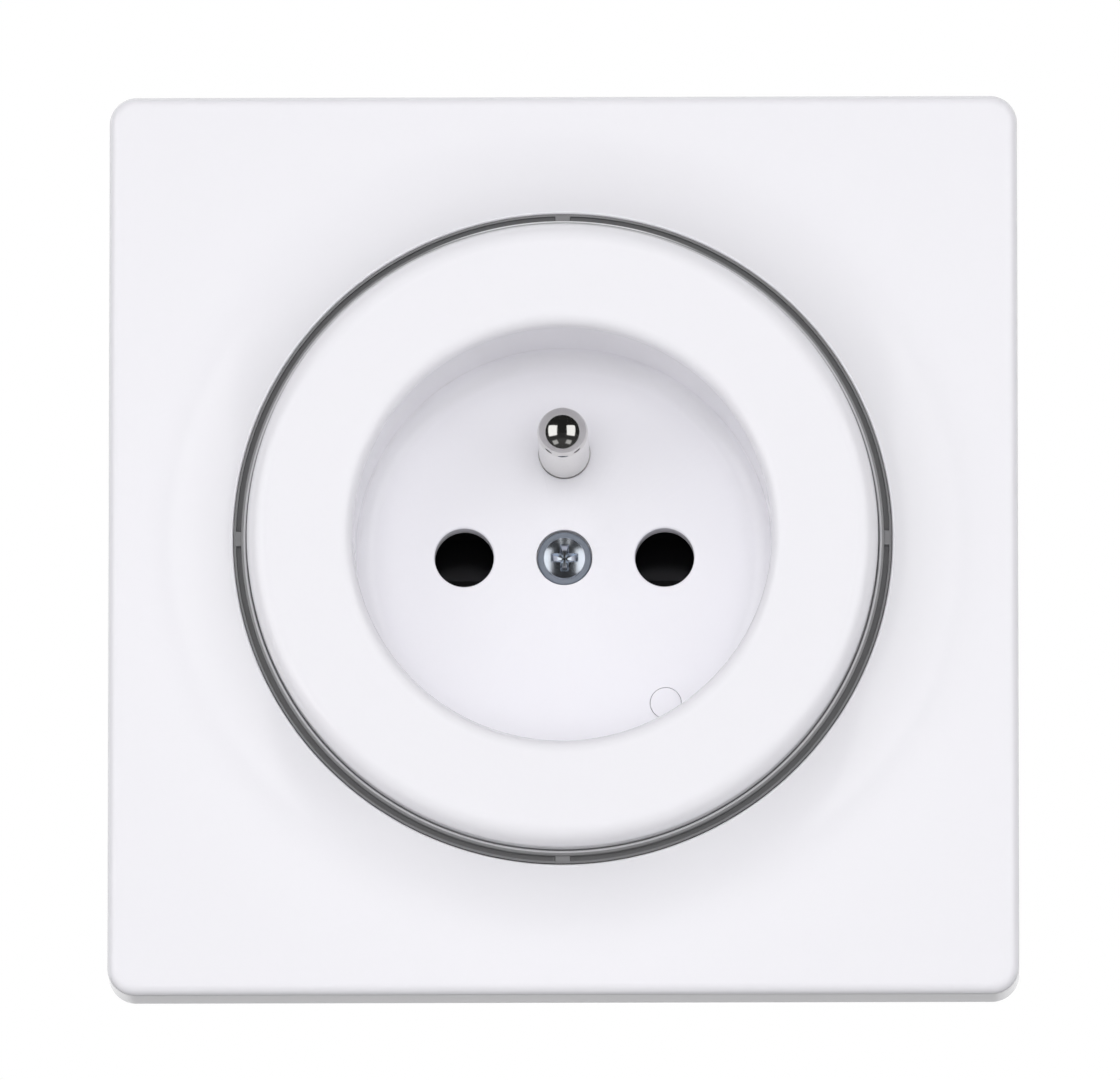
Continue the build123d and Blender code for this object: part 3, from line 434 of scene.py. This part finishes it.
def rim_painted_shade(shown, rim_shade):
    """The rim round the crown takes a dull material whose darker blue-grey is painted shade of its steep
    side: a face takes the second material where its centre is further from the screw's axis than the crown
    reaches."""
    shown.data.materials.append(rim_shade)
    centres = np.empty(3 * len(shown.data.polygons))
    shown.data.polygons.foreach_get("center", centres)
    from_axis = np.hypot(*centres.reshape(-1, 3)[:, ::2].T) / MM
    shown.data.polygons.foreach_set("material_index", (from_axis > SCREW_SHADED_RIM_FROM).astype(np.int32))


# The darker, dull blue-grey of the screw head's rim is painted shade of its steep, shaded side.
shaded_rim_grey = plastic("shaded_rim_grey", (0.22, 0.25, 0.3), 0.75, (0.3, 0.45), 0.3, 0.001, 2.0)
crown_r = np.linspace(0, SCREW_CROWN_REACH, 12)
crown = np.stack([crown_r, SCREW_HEAD_TOP - crown_r**2 / (2 * SCREW_CROWN_R)], -1)
screw_outline = np.vstack([crown[:-2], outline(
    [crown[-2], crown[-1], (SCREW_CROWN_REACH, SCREW_FLANGE_TOP), (SCREW_HEAD_R, SCREW_FLANGE_TOP),
     (SCREW_HEAD_R, SCREW_SEAT), (SCREW_SHANK_R, SCREW_SEAT), (SCREW_SHANK_R, SCREW_SHANK_END),
     (0, SCREW_SHANK_END)],
    [0, SCREW_CROWN_EDGE_R, 0.05, SCREW_HEAD_EDGE_R, 0.06, 0, 0.3, 0], 12)])
screw = piece(solid("centre_cross_screw", lathe(screw_outline, columns=128)), zinc_plate,
              "zinc_steel", "root", "centre_screw")
rim_painted_shade(screw, shaded_rim_grey)
cut(screw, cross_punch())
keep_flats_flat(screw)

# Service button: a small white push button low on the right of the recess's floor, level with it. It is
# moulded in the insert's plastic, with a flange behind the floor and a stem down to the switch.

BUTTON_EDGE_R, BUTTON_FLANGE_R, BUTTON_FLANGE = 0.06, 2.1, (-4.8, -5.6)
BUTTON_STEM_R, BUTTON_STEM_END = 1.1, -18.6

button_outline = outline(
    [(0, FLOOR), (BUTTON_R, FLOOR), (BUTTON_R, BUTTON_FLANGE[0]), (BUTTON_FLANGE_R, BUTTON_FLANGE[0]),
     (BUTTON_FLANGE_R, BUTTON_FLANGE[1]), (BUTTON_STEM_R, BUTTON_FLANGE[1]),
     (BUTTON_STEM_R, BUTTON_STEM_END), (0, BUTTON_STEM_END)],
    [0, BUTTON_EDGE_R, 0.1, 0.1, 0.1, 0.2, 0.1, 0], 5)
button = piece(solid("service_push_button", lathe(button_outline, BUTTON_X, BUTTON_Z, 96)), glossy_white,
               "white_plastic", "service_button", "service_button")
keep_flats_flat(button)

# Light ring: a clear light guide between insert and frame, unlit, so that the dark gap behind it shows. A
# thin bead runs along its inner edge, a groove beside it, and four small keys bridge the groove.

RING_INNER_R, RING_OUTER_R, RING_BACK, RING_LIP, RING_LIP_R = 29.84, 31.06, 5.8, 6.4, 31.9
BEAD_R, BEAD_TOP, BEAD_ROUND = 30.36, 9.6, 0.2
TOLERANCE, RING_LIP_PAST = 0.01, 0.2
GROOVE_FLOOR, KEY_TOP, KEY_HALF_WIDTH, KEY_SLOPE, WALL_R = 8.7, 9.15, 0.75, 0.12, 30.84
# GROOVE_TONE paints shade: the dark of the gap seen through the clear plastic. The 0.6 in RAISED_TONES
# along the bead's top is a painted highlight of its rounded edge.
GROOVE_TONE, RAISED_FROM, COOL_TINT = 0.16, 0.1, 1.03
RAISED_TONES = [(29.86, 0.25), (29.94, 0.3), (29.98, 0.6), (30.1, 0.6), (30.15, 0.26),
                (30.8, 0.24), (31.04, 0.2)]
# The gleam is a painted highlight: a pale line beside the bead's top, in a short arc at twelve o'clock.
GLEAM_R, GLEAM_HALF_WIDTH, GLEAM_TONE, GLEAM_FROM, GLEAM_FULL = 30.26, 0.09, 0.8, 0.9, 0.975
GUIDE_GRAIN, GUIDE_GRAIN_DEPTH, GUIDE_ROUGH = 0.8, 0.001, (0.1, 0.16)


def ring_skin(columns=1440):
    """A revolved section whose groove floor is a function of the angle as well: it rises to the keys' top
    where the arc from one of the four quarter points is shorter than half a key, over a short slope."""
    section = outline(
        [(RING_INNER_R, RING_BACK), (RING_LIP_R, RING_BACK), (RING_LIP_R, RING_LIP),
         (RING_OUTER_R, RING_LIP), (RING_OUTER_R, KEY_TOP), (WALL_R, KEY_TOP),
         (WALL_R, GROOVE_FLOOR), (BEAD_R, GROOVE_FLOOR), (BEAD_R, BEAD_TOP), (RING_INNER_R, BEAD_TOP)],
        [0, 0.1, 0.1, 0.1, 0.04, 0.04, 0.08, 0.08, BEAD_ROUND, BEAD_ROUND], 5)
    turn = np.linspace(0, 2 * np.pi, columns, endpoint=False)
    from_quarter = np.abs((turn + np.pi / 4) % (np.pi / 2) - np.pi / 4)
    key = np.clip((KEY_HALF_WIDTH / BEAD_R - from_quarter) * BEAD_R / KEY_SLOPE + 0.5, 0, 1)
    radius, height = section[:, 0, None], section[:, 1, None]
    in_groove = (radius > BEAD_R - TOLERANCE) & (radius < WALL_R + TOLERANCE)
    in_groove &= (height < KEY_TOP) & (height > RING_LIP + RING_LIP_PAST)
    out = height + np.where(in_groove, (KEY_TOP - height) * key, 0)
    return lattice(np.stack([radius * np.cos(turn), -out, radius * np.sin(turn)], -1), rows_close=True)


def unlit_light_guide():
    """Clear plastic over a dark gap, drawn opaque. The floor of the groove is painted dark, as shade of the
    gap seen through the clear plastic. What stands above it is paler, and its tone is a ramp of the
    distance from the ring's axis: palest along the top of the bead, a painted highlight of its rounded
    edge, with a painted highlight line beside it in a short arc at twelve o'clock."""
    material, tree, shader = blank("unlit_light_guide")
    place = add(tree, "ShaderNodeTexCoord")
    flat = add(tree, "ShaderNodeVectorMath", operation="MULTIPLY")
    flat.inputs[1].default_value = (1, 0, 1)
    away = add(tree, "ShaderNodeVectorMath", operation="LENGTH")
    span = add(tree, "ShaderNodeMapRange", From_Min=RING_INNER_R * MM, From_Max=RING_OUTER_R * MM)
    tone = add(tree, "ShaderNodeValToRGB")
    while len(tone.color_ramp.elements) < len(RAISED_TONES):
        tone.color_ramp.elements.new(0.5)
    for element, (radius, grey) in zip(tone.color_ramp.elements, RAISED_TONES):
        element.position = (radius - RING_INNER_R) / (RING_OUTER_R - RING_INNER_R)
        element.color = (grey, grey, grey * COOL_TINT, 1)
    parts = add(tree, "ShaderNodeSeparateXYZ")
    aside = add(tree, "ShaderNodeMath", operation="SUBTRACT")
    aside.inputs[1].default_value = GLEAM_R * MM
    off = add(tree, "ShaderNodeMath", operation="ABSOLUTE")
    crest = add(tree, "ShaderNodeMapRange", From_Min=GLEAM_HALF_WIDTH * MM,
                From_Max=GLEAM_HALF_WIDTH * MM / 2)
    height = add(tree, "ShaderNodeMapRange", From_Min=GLEAM_FROM * BEAD_R * MM,
                 From_Max=GLEAM_FULL * BEAD_R * MM)
    gleam = add(tree, "ShaderNodeMath", operation="MULTIPLY")
    # painted_gleam paints a highlight: it mixes a pale tone over the ramp in a short arc at the top of the
    # bead.
    painted_gleam = add(tree, "ShaderNodeMix", data_type="RGBA")
    painted_gleam.inputs["B"].default_value = (GLEAM_TONE, GLEAM_TONE, GLEAM_TONE * COOL_TINT, 1)
    raised = add(tree, "ShaderNodeMapRange", From_Min=-(GROOVE_FLOOR + RAISED_FROM) * MM,
                 From_Max=-(KEY_TOP - RAISED_FROM) * MM)
    dark = add(tree, "ShaderNodeMix", data_type="RGBA")
    dark.inputs["A"].default_value = (GROOVE_TONE, GROOVE_TONE, GROOVE_TONE * COOL_TINT, 1)
    skin = add(tree, "ShaderNodeGroup", node_tree=MOULDED_SKIN)
    skin.inputs["Grain scale"].default_value = 1 / (GUIDE_GRAIN * MM)
    gloss = add(tree, "ShaderNodeMapRange", To_Min=GUIDE_ROUGH[0], To_Max=GUIDE_ROUGH[1])
    relief = add(tree, "ShaderNodeBump", Distance=GUIDE_GRAIN_DEPTH * MM, Strength=1.0)
    for link in ((place.outputs["Object"], flat.inputs[0]), (flat.outputs["Vector"], away.inputs[0]),
                 (away.outputs["Value"], span.inputs["Value"]),
                 (span.outputs["Result"], tone.inputs["Fac"]),
                 (place.outputs["Object"], parts.inputs["Vector"]),
                 (parts.outputs["Y"], raised.inputs["Value"]),
                 (raised.outputs["Result"], dark.inputs["Factor"]),
                 (tone.outputs["Color"], painted_gleam.inputs["A"]),
                 (away.outputs["Value"], aside.inputs[0]), (aside.outputs["Value"], off.inputs[0]),
                 (off.outputs["Value"], crest.inputs["Value"]),
                 (parts.outputs["Z"], height.inputs["Value"]),
                 (crest.outputs["Result"], gleam.inputs[0]), (height.outputs["Result"], gleam.inputs[1]),
                 (gleam.outputs["Value"], painted_gleam.inputs["Factor"]),
                 (painted_gleam.outputs["Result"], dark.inputs["B"]),
                 (dark.outputs["Result"], shader.inputs["Base Color"]),
                 (skin.outputs["Mottle"], gloss.inputs["Value"]),
                 (gloss.outputs["Result"], shader.inputs["Roughness"]),
                 (skin.outputs["Grain"], relief.inputs["Height"]),
                 (relief.outputs["Normal"], shader.inputs["Normal"])):
        tree.links.new(*link)
    return material


piece(solid("unlit_light_ring", ring_skin()), unlit_light_guide(), "clear_plastic", "root", "light_ring")

# Cover frame: a square of glossy white plastic with a flat face and softly rounded edges. Round the ring
# it flares up in one curve to a collar. Four barbed legs inside clip on to the mounting plate's tabs.

FRAME_HALF, FRAME_FACE, FRAME_CORNER_R, FRAME_EDGE_R, FRAME_WALL = 43.0, 6.3, 2.6, 1.0, 2.0
FRAME_INNER_CORNER_R, RIM_BEVEL, ROUND_STEPS, FLARE_STEPS = 0.6, 0.15, 9, 33
COLLAR_HOLE_R, COLLAR_FOOT_R, COLLAR_TOP, COLLAR_LIP_R = 31.1, 40.0, 9.2, 0.25


def flare(radius):
    """Height of the collar: one arc, level at the collar's foot, whose radius is the square of the run plus
    the square of the rise, over twice the rise."""
    run, rise = COLLAR_FOOT_R - COLLAR_HOLE_R, COLLAR_TOP - FRAME_FACE
    arc_r = (run**2 + rise**2) / (2 * rise)
    return FRAME_FACE + arc_r - np.sqrt(arc_r**2 - np.clip(COLLAR_FOOT_R - radius, 0, None) ** 2)


def square(half, corner_r, side_steps=96, corner_steps=24):
    """A square outline with round corners, anticlockwise: along a side the angle from the centre grows in
    equal steps, and round a corner the angle of the outline's normal does. Points and normals."""
    reach = np.arctan2(half - corner_r, half)
    angle = np.linspace(-reach, reach, side_steps, endpoint=False)
    side = np.stack([np.full_like(angle, half), half * np.tan(angle)], -1)
    swing = np.linspace(0, np.pi / 2, corner_steps, endpoint=False)
    normal = np.stack([np.cos(swing), np.sin(swing)], -1)
    quarter = np.vstack([side, half - corner_r + corner_r * normal])
    normals = np.vstack([np.tile((1.0, 0.0), (side_steps, 1)), normal])
    turns = [np.array([[c, s], [-s, c]]) for c, s in ((1, 0), (0, 1), (-1, 0), (0, -1))]
    return np.vstack([quarter @ turn for turn in turns]), np.vstack([normals @ turn for turn in turns])


def frame_skin():
    """Rows from the ring's hole over the flare, the flat, the rounded edge and the side to the wall, and
    back inside. A row on the collar is a circle, and a row outside it is the square outline moved along
    its normals."""
    edge, normals = square(FRAME_HALF, FRAME_CORNER_R)
    inner, _ = square(FRAME_HALF - FRAME_WALL, FRAME_INNER_CORNER_R)
    outward = edge / np.linalg.norm(edge, axis=1, keepdims=True)
    swing = np.linspace(0, np.pi / 2, ROUND_STEPS)
    lip_r = COLLAR_HOLE_R + COLLAR_LIP_R * (1 - np.cos(swing))
    slope = np.linspace(COLLAR_HOLE_R + COLLAR_LIP_R, COLLAR_FOOT_R, FLARE_STEPS)
    lip_top = flare(COLLAR_HOLE_R + COLLAR_LIP_R)
    rows = [(outward * r, lip_top - COLLAR_LIP_R * (1 - np.sin(s))) for r, s in zip(lip_r, swing)]
    rows += [(outward * r, flare(r)) for r in slope[1:]]
    rows += [(edge - FRAME_EDGE_R * (1 - np.sin(s)) * normals, FRAME_FACE - FRAME_EDGE_R * (1 - np.cos(s)))
             for s in swing]
    rows += [(edge, RIM_BEVEL), (edge - RIM_BEVEL * normals, 0.0)]
    rows += [(inner, 0.0), (inner, FRAME_FACE - FRAME_WALL)]
    rows += [(outward * r, flare(r) - FRAME_WALL) for r in slope[::-4]]
    rows += [(outward * COLLAR_HOLE_R, COLLAR_TOP - FRAME_WALL)]
    flat = np.stack([row for row, _ in rows])
    out = np.repeat(np.array([height for _, height in rows])[:, None], len(edge), 1)
    return lattice(np.stack([flat[..., 0], -out, flat[..., 1]], -1), rows_close=True)


def soft_block(low, high, soft=0.15, steps=4):
    """A block with rounded edges: a point of a small ball, moved along each axis to the low or high side of
    the block according to the sign of the ball's normal there. Sides are doubled where the sign changes."""
    low, high = np.array(low), np.array(high)
    quarter = np.linspace(0, np.pi / 2, steps + 1)
    around = np.concatenate([quarter + k * np.pi / 2 for k in range(4)])
    tilt = np.concatenate([quarter - np.pi / 2, quarter])
    side_x = np.repeat([1, -1, -1, 1], steps + 1)
    side_y = np.repeat([1, 1, -1, -1], steps + 1)
    side_z = np.repeat([-1, 1], steps + 1)
    ball = np.stack([np.cos(tilt)[:, None] * np.cos(around), np.cos(tilt)[:, None] * np.sin(around),
                     np.repeat(np.sin(tilt)[:, None], len(around), 1)], -1)
    sides = np.stack(np.broadcast_arrays(side_x, side_y, side_z[:, None]), -1)
    corner = (low + high) / 2 + sides * ((high - low) / 2 - soft)
    return lattice(corner + soft * ball)


LEG_X, LEG_HALF_WIDTH, LEG_END, LEG_ROOT, CLIP_Z = (35.8, 37.3), 3.6, 0.6, 1.0, 18.0
BARB_X, BARB_ROOT, BARB_HALF_WIDTH, BARB_OUT = 34.9, 0.5, 2.6, (1.9, 2.7)
clips = []
for side in (-1, 1):
    for height in (-CLIP_Z, CLIP_Z):
        near, far = sorted(side * x for x in LEG_X)
        tip, root = sorted((side * BARB_X, side * (LEG_X[0] + BARB_ROOT)))
        clips.append(soft_block((near, -(FRAME_FACE - FRAME_WALL + LEG_ROOT), height - LEG_HALF_WIDTH),
                                (far, -LEG_END, height + LEG_HALF_WIDTH)))
        clips.append(soft_block((tip, -BARB_OUT[1], height - BARB_HALF_WIDTH),
                                (root, -BARB_OUT[0], height + BARB_HALF_WIDTH)))
cover = piece(solid("cover_frame_shell", frame_skin(), *clips), glossy_white,
              "white_plastic", "root", "cover_frame")
keep_flats_flat(cover)

# Studio: a plain pale floor well below the socket, which hangs where the wall would be, two large soft
# lights left and right of the camera, fills from the front and above that mirrors don't see, white light
# from behind the wall's plane, and a camera a little below the socket's axis.

FLOOR_LEVEL, FLOOR_SIZE = -1.0, 12.0
FLOOR_GREY, FLOOR_IN_MIRRORS, FLOOR_LIFT, FLOOR_ROUGH = 0.5, 0.05, 0.68, 0.9
floor_mesh = bpy.data.meshes.new("studio_floor")
half = FLOOR_SIZE / 2
corners = [(-half, -half), (half, -half), (half, half), (-half, half)]
floor_mesh.from_pydata([(x, y, FLOOR_LEVEL) for x, y in corners], [], [(0, 1, 2, 3)])
studio_floor = bpy.data.objects.new("studio_floor", floor_mesh)
bpy.context.scene.collection.objects.link(studio_floor)


def pale_floor():
    """A pale matt floor, lifted to near white for the camera and dark in mirrors, like the studio. From
    below the background shows through."""
    material, tree, shader = blank("pale_floor")
    shader.inputs["Roughness"].default_value = FLOOR_ROUGH
    shader.inputs["Emission Color"].default_value = (1, 1, 1, 1)
    path = add(tree, "ShaderNodeLightPath")
    colour = add(tree, "ShaderNodeMix", data_type="RGBA")
    colour.inputs["A"].default_value = (FLOOR_GREY, FLOOR_GREY, FLOOR_GREY, 1)
    colour.inputs["B"].default_value = (FLOOR_IN_MIRRORS, FLOOR_IN_MIRRORS, FLOOR_IN_MIRRORS, 1)
    tree.links.new(path.outputs["Is Glossy Ray"], colour.inputs["Factor"])
    tree.links.new(colour.outputs["Result"], shader.inputs["Base Color"])
    lift = add(tree, "ShaderNodeMath", operation="MULTIPLY")
    lift.inputs[1].default_value = FLOOR_LIFT
    tree.links.new(path.outputs["Is Camera Ray"], lift.inputs[0])
    tree.links.new(lift.outputs["Value"], shader.inputs["Emission Strength"])
    clear = add(tree, "ShaderNodeBsdfTransparent")
    face = add(tree, "ShaderNodeNewGeometry")
    pick = add(tree, "ShaderNodeMixShader")
    tree.links.new(face.outputs["Backfacing"], pick.inputs["Fac"])
    tree.links.new(shader.outputs["BSDF"], pick.inputs[1])
    tree.links.new(clear.outputs["BSDF"], pick.inputs[2])
    tree.links.new(pick.outputs["Shader"], tree.nodes["Material Output"].inputs["Surface"])
    return material


floor_mesh.materials.append(pale_floor())

ROOM_LIGHT, STUDIO_DARK, FULLY_BEHIND = 0.05, 0.02, 0.3


def studio_world():
    """White wherever the camera looks, and white light from the half of the room behind the wall's plane.
    In front of that plane the room gives a little even light, and mirrors see it darker still."""
    world = bpy.data.worlds.new("studio")
    bpy.context.scene.world = world
    world.use_nodes = True
    tree = world.node_tree
    background = tree.nodes["Background"]
    background.inputs["Color"].default_value = (1, 1, 1, 1)
    direction = add(tree, "ShaderNodeTexCoord")
    parts = add(tree, "ShaderNodeSeparateXYZ")
    behind = add(tree, "ShaderNodeMapRange", From_Min=0.0, From_Max=FULLY_BEHIND)
    path = add(tree, "ShaderNodeLightPath")
    mirror = add(tree, "ShaderNodeMath", operation="MAXIMUM")
    white = add(tree, "ShaderNodeMath", operation="MAXIMUM")
    front = add(tree, "ShaderNodeMix", data_type="FLOAT", A=ROOM_LIGHT, B=STUDIO_DARK)
    strength = add(tree, "ShaderNodeMix", data_type="FLOAT", B=1.0)
    for link in ((direction.outputs["Generated"], parts.inputs["Vector"]),
                 (parts.outputs["Y"], behind.inputs["Value"]),
                 (path.outputs["Is Glossy Ray"], mirror.inputs[0]),
                 (path.outputs["Is Transmission Ray"], mirror.inputs[1]),
                 (mirror.outputs["Value"], front.inputs["Factor"]),
                 (front.outputs["Result"], strength.inputs["A"]),
                 (path.outputs["Is Camera Ray"], white.inputs[0]),
                 (behind.outputs["Result"], white.inputs[1]),
                 (white.outputs["Value"], strength.inputs["Factor"]),
                 (strength.outputs["Result"], background.inputs["Strength"])):
        tree.links.new(*link)


def off_axis(azimuth, elevation):
    """The direction from the socket to a light or the camera. Azimuth 0 is straight in front of it, and
    grows to the right."""
    turn, rise = np.radians(azimuth), np.radians(elevation)
    return Vector((np.sin(turn) * np.cos(rise), -np.cos(turn) * np.cos(rise), np.sin(rise)))


def softbox(name, azimuth, elevation, distance, width, height, share, in_mirrors=True):
    """A rectangular light that faces the socket. Its power is what lights a wall across its beam to share
    of white: pi squared times the distance squared times share. A fill isn't seen in mirrors and gloss."""
    lamp = bpy.data.lights.new(name, "AREA")
    lamp.shape, lamp.size, lamp.size_y = "RECTANGLE", width, height
    lamp.energy = np.pi**2 * distance**2 * share
    light = bpy.data.objects.new(name, lamp)
    back = off_axis(azimuth, elevation)
    light.location = back * distance
    light.rotation_euler = (-back).to_track_quat("-Z", "Y").to_euler()
    light.visible_glossy = in_mirrors
    bpy.context.scene.collection.objects.link(light)


studio_world()
softbox("left_softbox", -46, 4, 1.6, 1.25, 1.3, 0.255)
softbox("right_softbox", 40, 4, 1.6, 1.15, 1.3, 0.23)
softbox("left_low_softbox", -46, -47, 1.1, 0.45, 0.35, 0.02)
softbox("right_low_softbox", 40, -47, 1.1, 0.45, 0.35, 0.02)
softbox("front_fill", 0, 0, 1.6, 0.9, 1.0, 0.43, in_mirrors=False)
softbox("top_left_fill", -25, 40, 1.6, 0.8, 0.8, 0.13, in_mirrors=False)
softbox("top_right_fill", 25, 40, 1.6, 0.8, 0.8, 0.09, in_mirrors=False)

CAMERA_AZIMUTH, CAMERA_ELEVATION, CAMERA_DISTANCE, CAMERA_LENS = 0.842, -9.389, 2.5, 849.9
CAMERA_AIM, SENSOR_WIDTH, CAMERA_CLIP = (-0.313, -5.0, 0.51), 36.0, (0.1, 50.0)
camera_data = bpy.data.cameras.new("camera")
camera_data.sensor_width, camera_data.lens = SENSOR_WIDTH, CAMERA_LENS
camera_data.clip_start, camera_data.clip_end = CAMERA_CLIP
camera = bpy.data.objects.new("camera", camera_data)
back = off_axis(CAMERA_AZIMUTH, CAMERA_ELEVATION)
camera.location = Vector(CAMERA_AIM) * MM + back * CAMERA_DISTANCE
camera.rotation_euler = (-back).to_track_quat("-Z", "Y").to_euler()
bpy.context.scene.collection.objects.link(camera)
bpy.context.scene.camera = camera
bpy.context.scene.view_settings.view_transform = "Standard"
